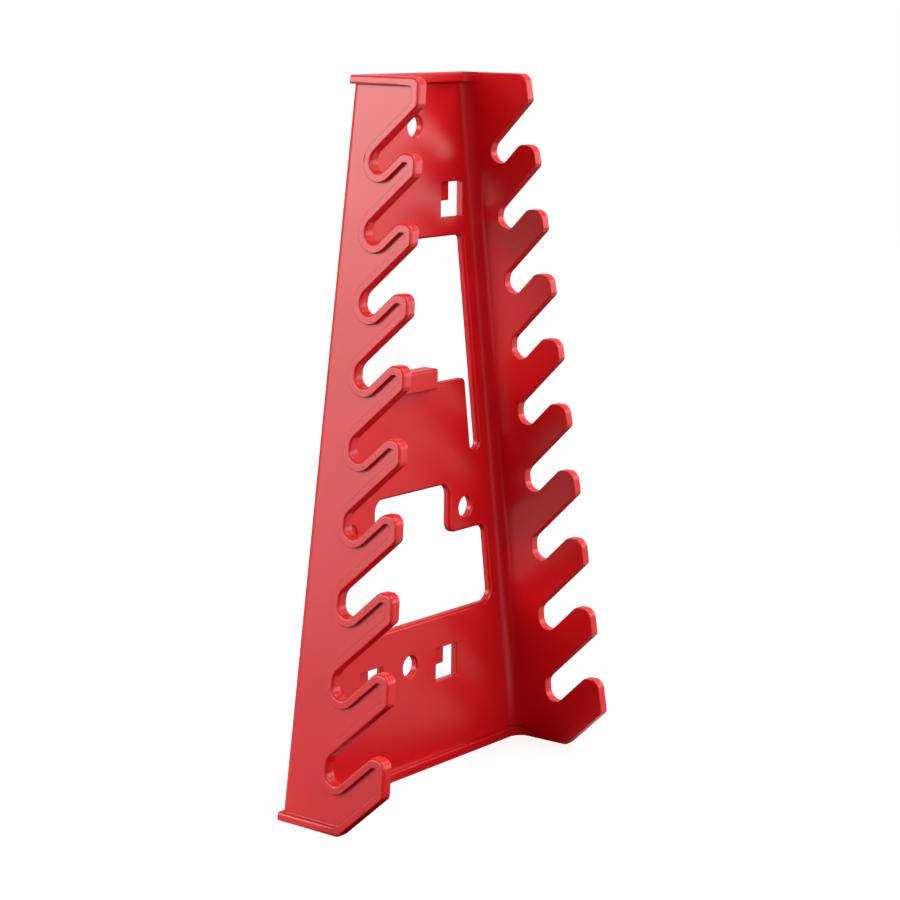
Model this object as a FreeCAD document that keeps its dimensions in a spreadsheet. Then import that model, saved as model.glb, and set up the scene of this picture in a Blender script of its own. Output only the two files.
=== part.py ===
"""Wall rack for wrenches, moulded in one piece: a tapered plate between two flanges of slanted hooks.

Every shape is drawn in a moulder's frame, with X across the rack, Y up it and Z forward from the wall.
The finished rack is turned so that Z is up and its front faces -Y.
"""
import FreeCAD, Part

import math
import os

from FreeCAD import Placement, Rotation, Vector

doc = FreeCAD.newDocument("wrench_rack")

# Driving dimensions, in millimetres and degrees.
SIZES = {
    "rack_height": 220.0,
    "width_at_bottom": 120.0,
    "width_at_top": 55.0,
    "depth_at_bottom": 39.7,
    "depth_at_top": 25.7,
    "flange_wall": 2.5,
    "bead_width": 2.6,
    "bead_rise": 1.27,
    "bead_groove_radius": 0.8,
    "plate_thickness": 2.5,
    "plate_corner_radius": 4.0,
    "back_corner_radius": 2.5,
    "rim_height": 2.9,
    "rim_rise": 1.7,
    "hook_angle": 43.0,
    "nose_flat": 5.0,
    "nose_back_radius": 3.0,
    "nose_front_radius": 2.9,
    "nose_under_radius": 1.8,
    "foot_length": 23.6,
    "foot_radius": 3.0,
    "first_slot_drop": 24.4,
    "lowest_slot_height": 14.0,
    "first_pitch": 20.39,
    "pitch_growth": 0.167,
    "pitch_curve": 1.71,
    "first_slot_depth": 10.66,
    "slot_depth_step": 0.77,
    "first_slot_width": 6.8,
    "slot_width_step": 0.2,
    "slot_end_radius": 3.3,
    "slot_shoulder_radius": 4.0,
    "window_margin": 7.03,
    "window_edge_radius": 1.1,
    "upper_window_drop": 50.3,
    "upper_window_bottom": 100.4,
    "upper_window_radius": 2.2,
    "tongue_top": 124.1,
    "tongue_slit": 4.2,
    "tongue_corner_radius": 1.5,
    "lip_width": 18.0,
    "lip_height": 6.7,
    "lip_overlap": 1.3,
    "lip_rise": 3.0,
    "lip_edge_radius": 0.8,
    "lower_window_top": 90.9,
    "lower_window_bottom": 48.9,
    "lower_window_radius": 3.5,
    "notch_width": 36.4,
    "notch_offset": 0.9,
    "ear_bottom": 74.7,
    "ear_radius": 3.5,
    "screw_diameter": 6.8,
    "top_screw_drop": 15.8,
    "bottom_screw_height": 35.1,
    "ear_screw_spread": 57.3,
    "ear_screw_offset": -1.05,
    "ear_screw_height": 82.2,
    "right_latch_near": 13.2,
    "left_latch_near": 13.8,
    "latch_width": 10.6,
    "latch_height": 10.9,
    "latch_gap": 4.8,
    "latch_step": 5.0,
    "latch_tab_thickness": 0.8,
    "upper_latch_drop": 33.5,
    "lower_latch_bottom": 27.2,
}

sheet = doc.addObject("Spreadsheet::Sheet", "sizes")
for row, (alias, number) in enumerate(SIZES.items(), start=1):
    sheet.set("A%d" % row, alias)
    sheet.set("B%d" % row, str(number))
    sheet.setAlias("B%d" % row, alias)
doc.recompute()


def size(alias):
    """The value of one cell of the sheet."""
    return float(getattr(sheet, alias))


def bound(kind, name, **expressions):
    """Add a parametric object whose properties follow cells of the sheet."""
    item = doc.addObject(kind, name)
    for prop, expression in expressions.items():
        item.setExpression(prop, expression)
    return item


def tapered_block(name, inset, back, front, low, high):
    """A wedge that narrows upwards like the rack, with its sides inset from the overall width."""
    slope = "(sizes.width_at_bottom - sizes.width_at_top) / 2 / sizes.rack_height"
    half_low = "(sizes.width_at_bottom / 2 - (%s) - %s * (%s))" % (inset, slope, low)
    half_high = "(sizes.width_at_bottom / 2 - (%s) - %s * (%s))" % (inset, slope, high)
    return bound("Part::Wedge", name, Xmin="-" + half_low, Xmax=half_low,
                 X2min="-" + half_high, X2max=half_high,
                 Ymin=low, Ymax=high, Zmin=back, Z2min=back, Zmax=front, Z2max=front)


def boolean(kind, name, base, tools):
    """A cut, fuse or common of objects of the document."""
    if kind == "Part::Cut":
        joined = tools[0]
        if len(tools) > 1:
            joined = doc.addObject("Part::MultiFuse", name + "_tools")
            joined.Shapes = tools
        item = doc.addObject(kind, name)
        item.Base = base
        item.Tool = joined
    else:
        item = doc.addObject(kind, name)
        item.Shapes = [base] + tools
    return item


def crossing(a, b, c, d):
    """Where the line through a and b meets the line through c and d."""
    ab = (b[0] - a[0], b[1] - a[1])
    cd = (d[0] - c[0], d[1] - c[1])
    share = ((c[0] - a[0]) * cd[1] - (c[1] - a[1]) * cd[0]) / (ab[0] * cd[1] - ab[1] * cd[0])
    return (a[0] + share * ab[0], a[1] + share * ab[1])


def inset_corners(corners, inset, inner_radius):
    """Move the sides and arcs of an anticlockwise outline inwards; inner_radius is the least arc left."""
    moved = []
    for index, (x, y, radius) in enumerate(corners):
        before = corners[index - 1]
        after = corners[(index + 1) % len(corners)]
        shifted = []
        for start, end in ((before, (x, y)), ((x, y), after)):
            length = math.hypot(end[0] - start[0], end[1] - start[1])
            across = -(end[1] - start[1]) / length * inset
            up = (end[0] - start[0]) / length * inset
            shifted.append((start[0] + across, start[1] + up))
            shifted.append((end[0] + across, end[1] + up))
        point = crossing(*shifted)
        turn = (x - before[0]) * (after[1] - y) - (y - before[1]) * (after[0] - x)
        if radius == 0.0:
            new_radius = 0.0
        elif turn > 0:
            new_radius = max(radius - inset, inner_radius)
        else:
            new_radius = radius + inset
        moved.append((point[0], point[1], new_radius))
    return moved


def rounded_wire(corners, to_vector):
    """A closed wire through corners (across, up, radius), with arcs held within the sides they share."""
    count = len(corners)
    lengths = []
    half_angles = []
    for index, (x, y, radius) in enumerate(corners):
        before = corners[index - 1]
        after = corners[(index + 1) % count]
        lengths.append(math.hypot(after[0] - x, after[1] - y))
        turn = math.atan2(before[1] - y, before[0] - x) - math.atan2(after[1] - y, after[0] - x)
        inside = abs(math.remainder(turn, 2 * math.pi))
        half_angles.append(inside / 2)
    reaches = [corner[2] / math.tan(half) for corner, half in zip(corners, half_angles)]
    for index in range(count):
        following = (index + 1) % count
        needed = reaches[index] + reaches[following]
        if needed > 0.99 * lengths[index]:
            reaches[index] *= 0.99 * lengths[index] / needed
            reaches[following] *= 0.99 * lengths[index] / needed
    arcs = []
    for index, (x, y, radius) in enumerate(corners):
        reach = reaches[index]
        half = half_angles[index]
        following = corners[(index + 1) % count]
        towards = []
        for other, length in ((corners[index - 1], lengths[index - 1]), (following, lengths[index])):
            towards.append(((other[0] - x) / length, (other[1] - y) / length))
        first = (x + towards[0][0] * reach, y + towards[0][1] * reach)
        last = (x + towards[1][0] * reach, y + towards[1][1] * reach)
        along = (towards[0][0] + towards[1][0], towards[0][1] + towards[1][1])
        distance = (reach / math.cos(half) - reach * math.tan(half)) / math.hypot(*along)
        middle = (x + along[0] * distance, y + along[1] * distance)
        arcs.append([to_vector(*point) for point in (first, middle, last)])
    edges = []
    for index, (first, middle, last) in enumerate(arcs):
        previous = arcs[index - 1][2]
        if previous.distanceToPoint(first) > 1e-6:
            edges.append(Part.LineSegment(previous, first).toShape())
        if first.distanceToPoint(last) > 1e-6:
            edges.append(Part.Arc(first, middle, last).toShape())
    return Part.Wire(edges)


def prism(name, corners, to_vector, direction, length):
    """A flat outline as a face, and the solid that it sweeps along one direction."""
    face = doc.addObject("Part::Feature", name + "_outline")
    face.Shape = Part.Face(rounded_wire(corners, to_vector))
    solid = doc.addObject("Part::Extrusion", name)
    solid.Base = face
    solid.DirMode = "Custom"
    solid.Dir = direction
    solid.LengthFwd = length
    solid.Solid = True
    return solid


# Side outline of a flange: depth forward of the wall against height.
HEIGHT = size("rack_height")
LEAN = math.radians(size("hook_angle"))
FRONT_TAPER = (size("depth_at_top") - size("depth_at_bottom")) / HEIGHT


def front_depth(height):
    """Depth of the front of the hooks at a height."""
    return size("depth_at_bottom") + FRONT_TAPER * height


def on_front(depth, height):
    """Where a line that leans at the hook angle through a point meets the front of the hooks."""
    slope = math.tan(LEAN)
    met = (front_depth(height) - FRONT_TAPER * slope * depth) / (1 - FRONT_TAPER * slope)
    return met, height + slope * (met - depth)


def slot_heights():
    """Heights of the slots' round bottoms from the top down, as many as there is room for."""
    heights = []
    height = HEIGHT - size("first_slot_drop")
    while height > size("lowest_slot_height"):
        growth = size("pitch_growth") * len(heights) ** size("pitch_curve")
        heights.append(height)
        height -= size("first_pitch") + growth
    return heights


def flange_corners(back):
    """The flange's outline, anticlockwise from its lowest rear corner, as (depth, height, radius)."""
    corners = [(back, 0.0, 0.0), (size("foot_length"), 0.0, size("foot_radius"))]
    under = on_front(size("foot_length"), 0.0)
    radius = size("slot_end_radius")
    rise = math.tan(LEAN)
    heights = slot_heights()
    for index in reversed(range(len(heights))):
        end = size("first_slot_depth") + size("slot_depth_step") * index
        width = size("first_slot_width") + size("slot_width_step") * index
        lower = heights[index] - radius / math.cos(LEAN) - rise * radius
        upper = lower + width / math.cos(LEAN)
        nose_front, nose_height = on_front(end, lower)
        nose_height -= rise * size("nose_flat")
        corners.append((*under, size("nose_under_radius")))
        corners.append((front_depth(nose_height), nose_height, size("nose_front_radius")))
        corners.append((nose_front - size("nose_flat"), nose_height, size("nose_back_radius")))
        corners.append((end, lower, radius))
        corners.append((end, upper, size("slot_shoulder_radius")))
        under = on_front(end, upper)
    corners.append((*under, size("nose_under_radius")))
    corners.append((front_depth(HEIGHT), HEIGHT, size("nose_front_radius")))
    corners.append((back, HEIGHT, 0.0))
    return corners


def side_vector(depth, height):
    """A point of the side outline, on the rack's left."""
    return Vector(-size("width_at_bottom"), height, depth)


def plate_vector(across, height):
    """A point of an outline on the plate, a little behind it."""
    return Vector(across, height, -1.0)


ACROSS = 2 * size("width_at_bottom")
side = prism("side_profile", flange_corners(0.0), side_vector, Vector(1, 0, 0), ACROSS)
inner_corners = inset_corners(flange_corners(-20.0), size("bead_width"), size("bead_groove_radius"))
panel = prism("panel_recess_profile", inner_corners, side_vector, Vector(1, 0, 0), ACROSS)

# Outer form: a tapered block, cut to the side outline and sunk beside the beads.
deepest = "sizes.depth_at_bottom + 1"
envelope = tapered_block("envelope", "0", "0", deepest, "0", "sizes.rack_height")
surround = tapered_block("surround", "-5", "-5", deepest, "0", "sizes.rack_height")
core = tapered_block("panel_core", "sizes.bead_rise", "0", "sizes.depth_at_bottom + 5", "-1",
                     "sizes.rack_height + 1")
doc.recompute()


def upright_edges(shape, depth):
    """Numbers of the edges that run up the rack at one depth."""
    found = []
    for number, edge in enumerate(shape.Edges, start=1):
        ends = [vertex.Point for vertex in edge.Vertexes]
        level = all(abs(end.z - depth) < 1e-6 for end in ends)
        if len(ends) == 2 and level and abs(ends[0].y - ends[1].y) > 10:
            found.append(number)
    return found


def fillet(name, base, numbers, radius):
    """Round the numbered edges of an object."""
    item = doc.addObject("Part::Fillet", name)
    item.Base = base
    item.Edges = [(number, radius, radius) for number in numbers]
    return item


rounded_core = fillet("rounded_panel_core", core, upright_edges(core.Shape, 0.0),
                      size("back_corner_radius"))
doc.recompute()
skin = boolean("Part::Cut", "outer_skin", surround, [rounded_core])
recess = boolean("Part::MultiCommon", "panel_recess", skin, [panel])
profiled = boolean("Part::MultiCommon", "profiled_block", envelope, [side])

# Hollow between the flanges: deeper between the two rims than across them.
inset = "sizes.flange_wall + sizes.bead_rise"
over_rims = tapered_block("hollow_over_rims", inset, "sizes.plate_thickness + sizes.rim_rise",
                          "sizes.depth_at_bottom + 5", "-1", "sizes.rack_height + 1")
between_rims = tapered_block("hollow_between_rims", inset, "sizes.plate_thickness",
                             "sizes.depth_at_bottom + 5", "sizes.rim_height",
                             "sizes.rack_height - sizes.rim_height")
doc.recompute()
hollow_a = fillet("rounded_hollow_over_rims", over_rims,
                  upright_edges(over_rims.Shape, size("plate_thickness") + size("rim_rise")),
                  size("plate_corner_radius"))
hollow_b = fillet("rounded_hollow_between_rims", between_rims,
                  upright_edges(between_rims.Shape, size("plate_thickness")), size("plate_corner_radius"))
shell = boolean("Part::Cut", "shell", profiled, [recess, hollow_a, hollow_b])


def margin(height, extra=0.0):
    """Half the width that a window may take at a height, less an extra strip."""
    taper = (size("width_at_bottom") - size("width_at_top")) / 2 / HEIGHT
    beside = size("flange_wall") + size("bead_rise") + size("window_margin") + extra
    return size("width_at_bottom") / 2 - taper * height - beside


def mirrored(right_side, between=()):
    """Close an outline whose right half is given from the bottom up, and then any corners between."""
    return right_side + list(between) + [(-x, y, radius) for x, y, radius in reversed(right_side)]


def window_cut(name, corners):
    """The tool that opens one window in the plate."""
    return prism(name, corners, plate_vector, Vector(0, 0, 1), size("plate_thickness") + 2)


# Upper window: it runs down both sides of the tongue in two slits.
upper_top = HEIGHT - size("upper_window_drop")
bottom = size("upper_window_bottom")
tongue = size("tongue_top")
slit = size("tongue_slit")
slit_end = slit / 2 - 0.05
upper_window = window_cut("upper_window", mirrored([
    (margin(tongue, slit), tongue, size("tongue_corner_radius")),
    (margin(bottom, slit), bottom, slit_end),
    (margin(bottom), bottom, slit_end),
    (margin(upper_top), upper_top, size("upper_window_radius")),
]))

# Lower window: two ears hang into its upper corners and carry the side screws, a little off centre.
top = size("lower_window_top")
bottom = size("lower_window_bottom")
ear = size("ear_bottom")
notch_right = size("notch_offset") + size("notch_width") / 2
notch_left = size("notch_offset") - size("notch_width") / 2
lower_window = window_cut("lower_window", mirrored([
    (margin(bottom), bottom, size("lower_window_radius")),
    (margin(ear), ear, size("ear_radius")),
], [
    (notch_right, ear, size("ear_radius")),
    (notch_right, top, size("ear_radius")),
    (notch_left, top, size("ear_radius")),
    (notch_left, ear, size("ear_radius")),
]))


def screw_hole(name, across, height):
    """A round hole through the plate."""
    item = bound("Part::Cylinder", name, Radius="sizes.screw_diameter / 2",
                 Height="sizes.plate_thickness + 2")
    item.setExpression("Placement.Base.x", across)
    item.setExpression("Placement.Base.y", height)
    item.Placement.Base.z = -1.0
    return item


right_ear = "sizes.ear_screw_offset + sizes.ear_screw_spread / 2"
left_ear = "sizes.ear_screw_offset - sizes.ear_screw_spread / 2"
holes = [
    screw_hole("top_screw_hole", "0", "sizes.rack_height - sizes.top_screw_drop"),
    screw_hole("bottom_screw_hole", "0", "sizes.bottom_screw_height"),
    screw_hole("right_ear_hole", right_ear, "sizes.ear_screw_height"),
    screw_hole("left_ear_hole", left_ear, "sizes.ear_screw_height"),
]


def latch_boxes(name, left, low):
    """An angled opening: a full-depth gap and foot, and a pocket that leaves a thin tab at the back."""
    boxes = []
    for part, x, y, z, wide, tall in (
            ("gap", left + " + sizes.latch_width - sizes.latch_gap", low, "-1", "sizes.latch_gap",
             "sizes.latch_height"),
            ("foot", left, low, "-1", "sizes.latch_width", "sizes.latch_step"),
            ("pocket", left, low, "sizes.latch_tab_thickness", "sizes.latch_width", "sizes.latch_height")):
        box = bound("Part::Box", name + "_" + part, Length=wide, Width=tall,
                    Height="sizes.plate_thickness + 2")
        box.setExpression("Placement.Base.x", x)
        box.setExpression("Placement.Base.y", y)
        box.setExpression("Placement.Base.z", z)
        boxes.append(box)
    return boxes


upper_latch_bottom = "sizes.rack_height - sizes.upper_latch_drop - sizes.latch_height"
left_latch_side = "-sizes.left_latch_near - sizes.latch_width"
holes += latch_boxes("upper_right_latch", "sizes.right_latch_near", upper_latch_bottom)
holes += latch_boxes("lower_right_latch", "sizes.right_latch_near", "sizes.lower_latch_bottom")
holes += latch_boxes("lower_left_latch", left_latch_side, "sizes.lower_latch_bottom")

pierced = boolean("Part::Cut", "pierced_shell", shell, [upper_window, lower_window] + holes)

# Lip across the middle of the tongue, standing proud of the plate and above the tongue's shoulders.
lip_box = bound("Part::Box", "lip_box", Length="sizes.lip_width", Width="sizes.lip_height",
                Height="sizes.plate_thickness + sizes.lip_rise")
lip_box.setExpression("Placement.Base.x", "-sizes.lip_width / 2")
lip_box.setExpression("Placement.Base.y", "sizes.tongue_top - sizes.lip_overlap")
doc.recompute()
moulding = boolean("Part::MultiFuse", "moulding", pierced, [lip_box])
moulding.Refine = True
doc.recompute()


def at(value, wanted):
    """Whether a measured value is the wanted one."""
    return abs(value - wanted) < 1e-3


def front_rounding(number, edge):
    """The rounding of one edge as (number, radius, radius), or None for an edge that stays sharp."""
    box = edge.BoundBox
    plate = size("plate_thickness")
    lip_bottom = size("tongue_top") - size("lip_overlap")
    lip_top = lip_bottom + size("lip_height")
    reach = max(abs(box.XMin), abs(box.XMax))
    beside_lip = box.YMin > lip_bottom - 1e-3 and box.YMax < lip_top + 1e-3
    in_lip = beside_lip and reach < size("lip_width") / 2 + 1e-3
    lip_front = in_lip and at(box.ZMin, plate + size("lip_rise"))
    lip_top_corner = in_lip and at(box.YMin, lip_top) and box.ZLength > size("lip_rise")
    if lip_front or lip_top_corner:
        return number, size("lip_edge_radius"), size("lip_edge_radius")
    on_plate = at(box.ZMin, plate) and at(box.ZMax, plate)
    between = size("lower_window_bottom") - 1 < box.YMin and box.YMax < upper_top + 1
    if in_lip or edge.Closed or not (on_plate and between):
        return None
    if reach < margin(box.YMin) + 0.5:
        return number, size("window_edge_radius"), size("window_edge_radius")
    return None


roundings = [front_rounding(number, edge) for number, edge in enumerate(moulding.Shape.Edges, start=1)]
rack = doc.addObject("Part::Fillet", "rack_body")
rack.Base = moulding
rack.Edges = [rounding for rounding in roundings if rounding]
rack.Label = "rack_body"
doc.recompute()

# Stand the rack up, with the middle of its depth over the origin and its foot at height zero.
depths = rack.Shape.optimalBoundingBox(False, False)
rack.Placement = Placement(Vector(0, (depths.ZMin + depths.ZMax) / 2, 0), Rotation(Vector(1, 0, 0), 90))
doc.recompute()

for item in doc.Objects:
    faults = [state for state in item.State if state in ("Invalid", "Error")]
    if faults:
        raise RuntimeError("%s is %s" % (item.Name, faults))
if rack.Shape.isNull() or not rack.Shape.isValid() or len(rack.Shape.Solids) != 1:
    raise RuntimeError("rack_body is not one valid solid")

os.makedirs("parts", exist_ok=True)
rack.Shape.exportStep("parts/%s.step" % rack.Label)
extent = rack.Shape.optimalBoundingBox(False, False)
print("rack_body volume %.0f mm3, box %s" % (rack.Shape.Volume, extent))
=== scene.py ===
"""Dresses the wrench rack: one moulding of red plastic with eased edges, on a pale studio floor."""
import math

import bmesh
import bpy
from mathutils import Euler, Matrix, Vector


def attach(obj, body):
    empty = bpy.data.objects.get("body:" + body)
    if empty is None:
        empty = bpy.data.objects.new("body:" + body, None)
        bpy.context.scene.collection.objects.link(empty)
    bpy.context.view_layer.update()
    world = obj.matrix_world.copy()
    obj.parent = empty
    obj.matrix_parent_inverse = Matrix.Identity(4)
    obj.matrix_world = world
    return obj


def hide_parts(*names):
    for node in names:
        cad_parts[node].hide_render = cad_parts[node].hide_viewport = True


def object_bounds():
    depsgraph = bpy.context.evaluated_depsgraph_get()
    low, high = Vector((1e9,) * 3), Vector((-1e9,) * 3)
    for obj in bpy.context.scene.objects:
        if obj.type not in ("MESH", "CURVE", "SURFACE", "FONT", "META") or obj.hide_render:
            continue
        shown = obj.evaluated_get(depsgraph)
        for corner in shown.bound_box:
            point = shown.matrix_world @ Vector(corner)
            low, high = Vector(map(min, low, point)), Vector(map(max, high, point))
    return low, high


bl_info = {
    "name": "Wrench Rack",
    "version": (1, 0, 0),
    "blender": (4, 5, 0),
    "location": "3D View > Sidebar > Wrench Rack",
    "description": "Finishes a moulded wrench rack and sets it on a studio floor",
    "category": "Object",
}

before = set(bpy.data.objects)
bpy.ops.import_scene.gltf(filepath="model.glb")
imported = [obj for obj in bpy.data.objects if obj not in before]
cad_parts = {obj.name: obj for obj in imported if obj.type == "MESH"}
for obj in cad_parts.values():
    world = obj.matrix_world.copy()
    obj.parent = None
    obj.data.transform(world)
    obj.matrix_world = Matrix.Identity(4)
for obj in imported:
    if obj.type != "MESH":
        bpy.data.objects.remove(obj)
CAD_BOX = [list(corner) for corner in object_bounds()]
MM = 0.001

# Places on the moulding that its edges are told apart by.
TOP_HALF_WIDTH = 27.5 * MM
BEAD_RISE = 1.27 * MM
REAR_CORNER = 8.5 * MM
REAR_END = 7.0 * MM
SCREW_RADIUS = 3.4 * MM
SCREW_PLACES = (  # height and place across of each screw hole
    (204.2 * MM, 0.0),
    (35.1 * MM, 0.0),
    (82.2 * MM, 27.6 * MM),
    (82.2 * MM, -29.7 * MM),
)
CLOSE = 0.02 * MM  # nearer than this counts as on a face

# How the moulding's mesh is joined, rounded and shaded.
MERGE_DISTANCE = 0.002 * MM
EDGE_SEGMENTS = 3
SMOOTH_ANGLE = math.radians(40.0)
FACE_WEIGHT = 50

# The plastic: how deep light soaks in, how cloudy its colour is and how dark its painted crease shade
# is.
PLASTIC_IOR = 1.5
SOAK_SHARE = 0.06
SOAK_RADIUS = (1.0, 0.2, 0.1)
SOAK_DEPTH = 1.2 * MM
CLOUD_SCALE = 28.0
CLOUD_DETAIL = 3.0
CLOUD_TONES = (0.88, 1.12)
# Painted shade in the creases: its reach, samples, the occlusion range that is darkened and the darkest
# tone.
PAINTED_SHADE_REACH = 1.0 * MM
PAINTED_SHADE_SAMPLES = 8
PAINTED_SHADE_RANGE = (0.45, 0.95)
PAINTED_SHADE_TONE = 0.25

# The floor, in metres, and its light: the glow that the camera sees and the bounce that it throws on
# the rack. The bounce comes only from the two quarters in which x times y is below zero, and has its
# full strength where that product, in square metres, reaches QUARTER_FADE.
FLOOR_SIZE = 3.2
FLOOR_ROUGHNESS = 0.8
FLOOR_GLOW = 0.85
FLOOR_BOUNCE = 0.55
QUARTER_FADE = -0.0008

# How light the room is, for the rack and for the camera.
ROOM_LIGHT = 0.53
ROOM_WHITE = 1.0

# The soft lamps: name, place, the point that it faces, width, height and watts.
RACK_MIDDLE = (0.0, 0.0, 0.11)
LAMPS = (
    ("key_lamp", (0.83, -0.83, 2.32), RACK_MIDDLE, 1.3, 1.3, 42.0),
    ("front_lamp", (0.0, -2.27, 1.17), RACK_MIDDLE, 1.3, 1.3, 22.0),
    ("right_lamp", (2.48, 0.0, 0.46), RACK_MIDDLE, 1.3, 1.3, 24.0),
    ("left_lamp", (-1.75, -1.75, 0.46), RACK_MIDDLE, 1.3, 1.3, 1.5),
    ("wall_lamp", (-1.7, 1.3, 0.45), (0.0, 0.0, 0.1), 1.6, 1.1, 13.4),
    ("side_lamp", (-1.2, 0.95, 0.74), (0.0, 0.0, 0.2), 0.9, 0.65, 4.9),
    ("fill_lamp", (1.5, -1.3, 0.35), (0.0, 0.0, 0.1), 1.4, 1.0, 9.0),
    ("rear_lamp", (-1.29, 1.43, 0.66), RACK_MIDDLE, 0.58, 0.44, 3.1),
    ("high_lamp", (-1.71, 0.43, 1.05), RACK_MIDDLE, 0.58, 0.44, 5.0),
)

# The camera's film width in millimetres, and the distances between which it sees, in metres.
FILM_WIDTH = 36.0
SIGHT = (0.01, 50.0)

# Sockets of a Mix node that mixes colours.
MIX_FACTOR, MIX_FIRST, MIX_SECOND, MIX_RESULT = 0, 6, 7, 2


class MouldingSettings(bpy.types.PropertyGroup):
    """Edges and finish of the moulding."""

    bead_edge: bpy.props.FloatProperty(
        name="Bead Edge", description="Rounding of the raised bead along the hooks' outline",
        default=0.75 * MM, min=0.0, unit="LENGTH", precision=5)
    groove_edge: bpy.props.FloatProperty(
        name="Groove Edge", description="Rounding of the raised bead beside the sunken panel",
        default=0.25 * MM, min=0.0, unit="LENGTH", precision=5)
    hole_edge: bpy.props.FloatProperty(
        name="Hole Edge", description="Rounding of the screw holes' front edges",
        default=0.6 * MM, min=0.0, unit="LENGTH", precision=5)
    fine_edge: bpy.props.FloatProperty(
        name="Fine Edge", description="Rounding of every other sharp edge",
        default=0.3 * MM, min=0.0, unit="LENGTH", precision=5)
    edge_angle: bpy.props.FloatProperty(
        name="Edge Angle", description="Edges that turn more than this are rounded",
        default=math.radians(35.0), subtype="ANGLE")
    flat_angle: bpy.props.FloatProperty(
        name="Flat Angle", description="Neighbouring faces that turn less than this are joined first",
        default=math.radians(0.4), subtype="ANGLE")
    plastic_colour: bpy.props.FloatVectorProperty(
        name="Plastic Colour", description="Colour of the moulded plastic",
        default=(0.64, 0.006, 0.0095), size=3, subtype="COLOR", min=0.0, max=1.0)
    roughness: bpy.props.FloatProperty(
        name="Roughness", description="How broad the plastic's highlights are",
        default=0.27, subtype="FACTOR", min=0.0, max=1.0)


class StageSettings(bpy.types.PropertyGroup):
    """Floor and camera."""

    floor_colour: bpy.props.FloatVectorProperty(
        name="Floor Colour", description="Colour of the studio floor",
        default=(0.2, 0.2, 0.2), size=3, subtype="COLOR", min=0.0, max=1.0)
    camera_place: bpy.props.FloatVectorProperty(
        name="Camera Place", description="Where the camera stands",
        default=(-574.2 * MM, -443.56 * MM, 244.6 * MM), size=3, subtype="TRANSLATION")
    camera_azimuth: bpy.props.FloatProperty(
        name="Camera Azimuth", description="How far the camera is turned from the rack's depth axis",
        default=math.radians(52.18), subtype="ANGLE")
    camera_drop: bpy.props.FloatProperty(
        name="Camera Drop", description="How far the camera looks down",
        default=math.radians(10.76), subtype="ANGLE")
    camera_roll: bpy.props.FloatProperty(
        name="Camera Roll", description="How far the picture is turned",
        default=math.radians(0.68), subtype="ANGLE")
    lens: bpy.props.FloatProperty(
        name="Lens", description="Focal length of the camera, in millimetres",
        default=96.78, min=1.0)


def deselect_all():
    """Leave nothing selected and nothing active."""
    bpy.ops.object.select_all(action="DESELECT")
    bpy.context.view_layer.objects.active = None


def select_only(piece):
    """Select one object and make it active."""
    deselect_all()
    piece.select_set(True)
    bpy.context.view_layer.objects.active = piece


def add_node(tree, kind, **levels):
    """Add a node to a tree and set its sockets, which are named with _ for each space."""
    node = tree.nodes.new(kind)
    for name, level in levels.items():
        node.inputs[name.replace("_", " ")].default_value = level
    return node


def principled(name, colour, roughness):
    """A new material, with its node tree and its shader."""
    material = bpy.data.materials.new(name)
    material.use_nodes = True
    material.diffuse_color = (*colour, 1.0)
    shader = material.node_tree.nodes["Principled BSDF"]
    shader.inputs["Base Color"].default_value = (*colour, 1.0)
    shader.inputs["Roughness"].default_value = roughness
    return material, material.node_tree, shader


def red_plastic(settings):
    """Semi-gloss moulded plastic: faint cloudiness in the colour, and painted shade that darkens the
    creases.
    """
    colour = tuple(settings.plastic_colour)
    material, tree, shader = principled("red_plastic", colour, settings.roughness)
    shader.inputs["IOR"].default_value = PLASTIC_IOR
    shader.inputs["Subsurface Weight"].default_value = SOAK_SHARE
    shader.inputs["Subsurface Radius"].default_value = SOAK_RADIUS
    shader.inputs["Subsurface Scale"].default_value = SOAK_DEPTH

    place = add_node(tree, "ShaderNodeTexCoord")
    cloud = add_node(tree, "ShaderNodeTexNoise", Scale=CLOUD_SCALE, Detail=CLOUD_DETAIL)
    tree.links.new(place.outputs["Object"], cloud.inputs["Vector"])
    tone = add_node(tree, "ShaderNodeMix")
    tone.data_type = "RGBA"
    for socket, share in zip((MIX_FIRST, MIX_SECOND), CLOUD_TONES):
        tone.inputs[socket].default_value = (*[channel * share for channel in colour], 1.0)
    tree.links.new(cloud.outputs["Fac"], tone.inputs[MIX_FACTOR])

    # Painted shade: ambient occlusion darkens the base colour in creases and at the foot of the bead.
    painted_shade = add_node(tree, "ShaderNodeAmbientOcclusion", Distance=PAINTED_SHADE_REACH)
    painted_shade.only_local = True
    painted_shade.samples = PAINTED_SHADE_SAMPLES
    painted_shade_level = add_node(tree, "ShaderNodeMapRange", From_Min=PAINTED_SHADE_RANGE[0], From_Max=PAINTED_SHADE_RANGE[1],
                     To_Min=PAINTED_SHADE_TONE)
    tree.links.new(painted_shade.outputs["AO"], painted_shade_level.inputs["Value"])
    shaded = add_node(tree, "ShaderNodeMix")
    shaded.data_type = "RGBA"
    shaded.blend_type = "MULTIPLY"
    shaded.inputs[MIX_FACTOR].default_value = 1.0
    tree.links.new(tone.outputs[MIX_RESULT], shaded.inputs[MIX_FIRST])
    tree.links.new(painted_shade_level.outputs["Result"], shaded.inputs[MIX_SECOND])
    tree.links.new(shaded.outputs[MIX_RESULT], shader.inputs["Base Color"])
    return material


def outer_face(point):
    """How far a point lies inside the outer faces of the flanges, which lean towards each other."""
    low, high = CAD_BOX
    lean = (high[0] - TOP_HALF_WIDTH) / (high[2] - low[2])
    return high[0] - lean * (point.z - low[2]) - abs(point.x)


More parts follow.
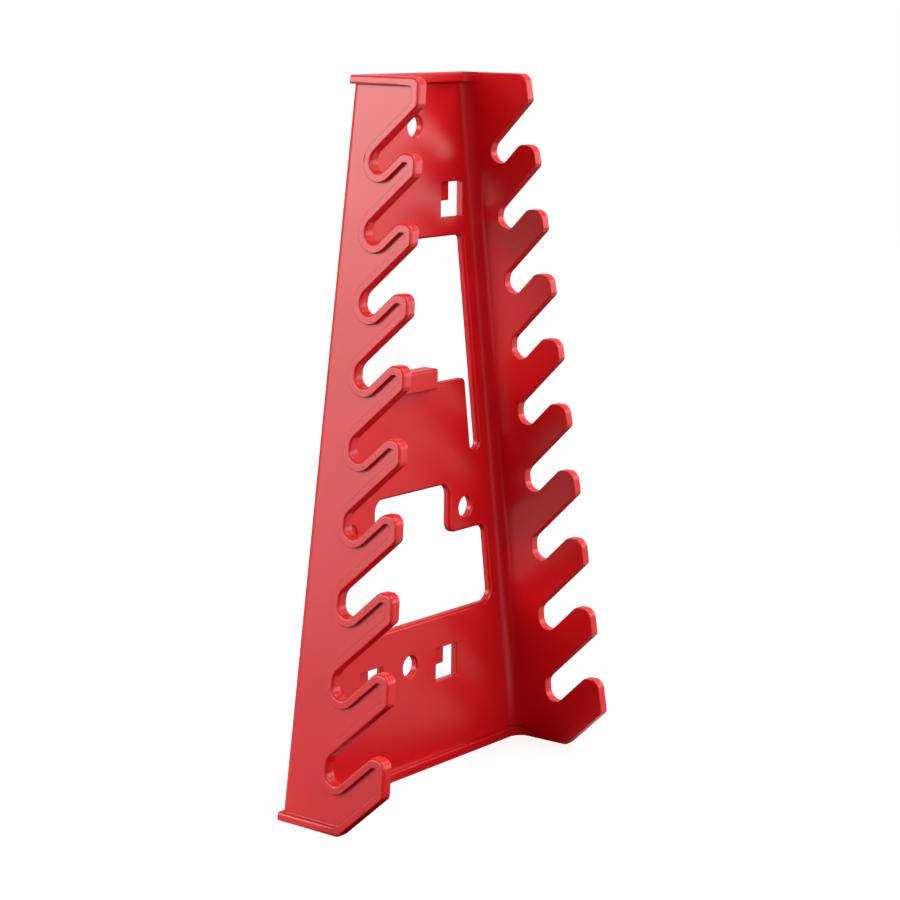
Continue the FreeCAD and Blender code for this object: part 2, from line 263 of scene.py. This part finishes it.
def edge_rounding(edge, settings):
    """How far one sharp edge of the moulding is rounded. The ends at the rear corners stay sharp."""
    places = [vertex.co for vertex in edge.verts]
    rear_face = CAD_BOX[1][1]
    if all(place.y > rear_face - REAR_CORNER and outer_face(place) < REAR_END for place in places):
        return 0.0
    if all(outer_face(place) < CLOSE for place in places):
        deepest = [max(outer_face(vertex.co) for vertex in face.verts) for face in edge.link_faces]
        beside_groove = CLOSE < max(deepest) < BEAD_RISE + CLOSE
        return settings.groove_edge if beside_groove else settings.bead_edge
    if all(place.y < rear_face - CLOSE for place in places):
        for height, across in SCREW_PLACES:
            reach = [math.hypot(place.x - across, place.z - height) for place in places]
            if all(abs(distance - SCREW_RADIUS) < CLOSE for distance in reach):
                return settings.hole_edge
    return settings.fine_edge


class RACK_OT_moulding(bpy.types.Operator):
    """Ease the edges of the moulded body and give it its plastic"""

    bl_idname = "rack.moulding"
    bl_label = "Moulded Body"

    def execute(self, context):
        settings = context.scene.rack_moulding
        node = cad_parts["rack_body"]
        body = bpy.data.objects.new("rack_moulding", node.data.copy())
        context.scene.collection.objects.link(body)
        select_only(body)
        bpy.ops.object.mode_set(mode="EDIT")
        bpy.ops.mesh.select_all(action="SELECT")
        bpy.ops.mesh.remove_doubles(threshold=MERGE_DISTANCE)
        bpy.ops.mesh.dissolve_limited(angle_limit=settings.flat_angle)
        widest = max(settings.bead_edge, settings.groove_edge, settings.hole_edge, settings.fine_edge)
        mesh = bmesh.from_edit_mesh(body.data)
        weight = mesh.edges.layers.float.new("bevel_weight_edge")
        for edge in mesh.edges:
            if len(edge.link_faces) == 2 and edge.calc_face_angle() > settings.edge_angle:
                edge[weight] = edge_rounding(edge, settings) / widest
        bmesh.update_edit_mesh(body.data)
        bpy.ops.object.mode_set(mode="OBJECT")

        ease = body.modifiers.new("eased_edges", "BEVEL")
        ease.width = widest
        ease.segments = EDGE_SEGMENTS
        ease.limit_method = "WEIGHT"
        ease.use_clamp_overlap = False
        bpy.ops.object.modifier_apply(modifier=ease.name)
        bpy.ops.object.shade_smooth_by_angle(angle=SMOOTH_ANGLE)
        shading = body.modifiers.new("flat_faces", "WEIGHTED_NORMAL")
        shading.mode = "FACE_AREA"
        shading.weight = FACE_WEIGHT
        shading.keep_sharp = True
        bpy.ops.object.modifier_apply(modifier=shading.name)

        body.data.materials.clear()
        body.data.materials.append(red_plastic(settings))
        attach(body, "root")
        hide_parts("rack_body")
        return {"FINISHED"}


class RACK_OT_stage(bpy.types.Operator):
    """Lay the floor, light the studio and set up the camera"""

    bl_idname = "rack.stage"
    bl_label = "Studio"

    def execute(self, context):
        settings = context.scene.rack_stage
        deselect_all()
        bpy.ops.mesh.primitive_plane_add(size=FLOOR_SIZE, location=(0.0, 0.0, CAD_BOX[0][2]))
        floor = context.object
        floor.name = "studio_floor"
        bpy.ops.object.transform_apply(location=True, rotation=True, scale=True)
        floor.data.materials.append(self.floor_paper(settings))

        world = context.scene.world or bpy.data.worlds.new("studio_world")
        context.scene.world = world
        world.use_nodes = True
        self.pale_room(world.node_tree)
        for lamp in LAMPS:
            self.area_lamp(*lamp)
        context.scene.camera = self.photo_camera(settings)
        context.scene.view_settings.view_transform = "Standard"
        return {"FINISHED"}

    def floor_paper(self, settings):
        """Pale paper that stays light behind the rack and keeps the rack's shadow."""
        material, tree, shader = principled("floor_paper", tuple(settings.floor_colour), FLOOR_ROUGHNESS)
        shader.inputs["Specular IOR Level"].default_value = 0.0
        glow = add_node(tree, "ShaderNodeEmission", Strength=FLOOR_GLOW)
        paper = add_node(tree, "ShaderNodeAddShader")
        tree.links.new(shader.outputs["BSDF"], paper.inputs[0])
        tree.links.new(glow.outputs["Emission"], paper.inputs[1])

        place = add_node(tree, "ShaderNodeTexCoord")
        axes = add_node(tree, "ShaderNodeSeparateXYZ")
        tree.links.new(place.outputs["Object"], axes.inputs["Vector"])
        quarter = add_node(tree, "ShaderNodeMath")
        quarter.operation = "MULTIPLY"
        tree.links.new(axes.outputs["X"], quarter.inputs[0])
        tree.links.new(axes.outputs["Y"], quarter.inputs[1])
        level = add_node(tree, "ShaderNodeMapRange", From_Min=0.0, From_Max=QUARTER_FADE,
                         To_Max=FLOOR_BOUNCE)
        tree.links.new(quarter.outputs["Value"], level.inputs["Value"])
        bounce = add_node(tree, "ShaderNodeEmission")
        tree.links.new(level.outputs["Result"], bounce.inputs["Strength"])

        seen = self.camera_switch(tree, bounce.outputs["Emission"], paper.outputs["Shader"])
        tree.links.new(seen, tree.nodes["Material Output"].inputs["Surface"])
        return material

    def pale_room(self, tree):
        """A pale room, which is plain white where the camera looks past the floor."""
        tree.nodes.clear()
        output = add_node(tree, "ShaderNodeOutputWorld")
        white = (1.0, 1.0, 1.0, 1.0)
        light, view = [add_node(tree, "ShaderNodeBackground", Color=white, Strength=strength)
                       for strength in (ROOM_LIGHT, ROOM_WHITE)]
        seen = self.camera_switch(tree, light.outputs["Background"], view.outputs["Background"])
        tree.links.new(seen, output.inputs["Surface"])

    def camera_switch(self, tree, others, camera):
        """One shader for what the camera sees and another for all other rays."""
        rays = add_node(tree, "ShaderNodeLightPath")
        switch = add_node(tree, "ShaderNodeMixShader")
        tree.links.new(rays.outputs["Is Camera Ray"], switch.inputs["Fac"])
        tree.links.new(others, switch.inputs[1])
        tree.links.new(camera, switch.inputs[2])
        return switch.outputs["Shader"]

    def area_lamp(self, name, place, target, width, height, watts):
        """A rectangular soft lamp that faces a point."""
        bpy.ops.object.light_add(type="AREA", location=place)
        lamp = bpy.context.object
        lamp.name = name
        lamp.data.shape = "RECTANGLE"
        lamp.data.size = width
        lamp.data.size_y = height
        lamp.data.energy = watts
        lamp.rotation_euler = (Vector(target) - Vector(place)).to_track_quat("-Z", "Y").to_euler()

    def photo_camera(self, settings):
        """The camera, at the photograph's viewing angle."""
        bpy.ops.object.camera_add(location=settings.camera_place)
        camera = bpy.context.object
        camera.name = "photo_camera"
        aim = Euler((math.pi / 2 - settings.camera_drop, 0.0, -settings.camera_azimuth)).to_matrix()
        camera.rotation_euler = (aim @ Matrix.Rotation(settings.camera_roll, 3, "Z")).to_euler()
        camera.data.sensor_fit = "HORIZONTAL"
        camera.data.sensor_width = FILM_WIDTH
        camera.data.lens = settings.lens
        camera.data.clip_start, camera.data.clip_end = SIGHT
        return camera


class RACK_PT_panel(bpy.types.Panel):
    """Lists the steps that finish the rack."""

    bl_label = "Wrench Rack"
    bl_idname = "RACK_PT_panel"
    bl_space_type = "VIEW_3D"
    bl_region_type = "UI"
    bl_category = "Wrench Rack"

    def draw(self, context):
        layout = self.layout
        for name in ("bead_edge", "groove_edge", "hole_edge", "fine_edge", "edge_angle", "flat_angle",
                     "plastic_colour", "roughness"):
            layout.prop(context.scene.rack_moulding, name)
        layout.operator(RACK_OT_moulding.bl_idname)
        for name in ("floor_colour", "camera_place", "camera_azimuth", "camera_drop", "camera_roll",
                     "lens"):
            layout.prop(context.scene.rack_stage, name)
        layout.operator(RACK_OT_stage.bl_idname)


CLASSES = (MouldingSettings, StageSettings, RACK_OT_moulding, RACK_OT_stage, RACK_PT_panel)


def register():
    for cls in CLASSES:
        bpy.utils.register_class(cls)
    bpy.types.Scene.rack_moulding = bpy.props.PointerProperty(type=MouldingSettings)
    bpy.types.Scene.rack_stage = bpy.props.PointerProperty(type=StageSettings)


def unregister():
    del bpy.types.Scene.rack_stage
    del bpy.types.Scene.rack_moulding
    for cls in reversed(CLASSES):
        bpy.utils.unregister_class(cls)


def main():
    register()
    bpy.ops.rack.moulding()
    bpy.ops.rack.stage()


if __name__ == "__main__":
    main()
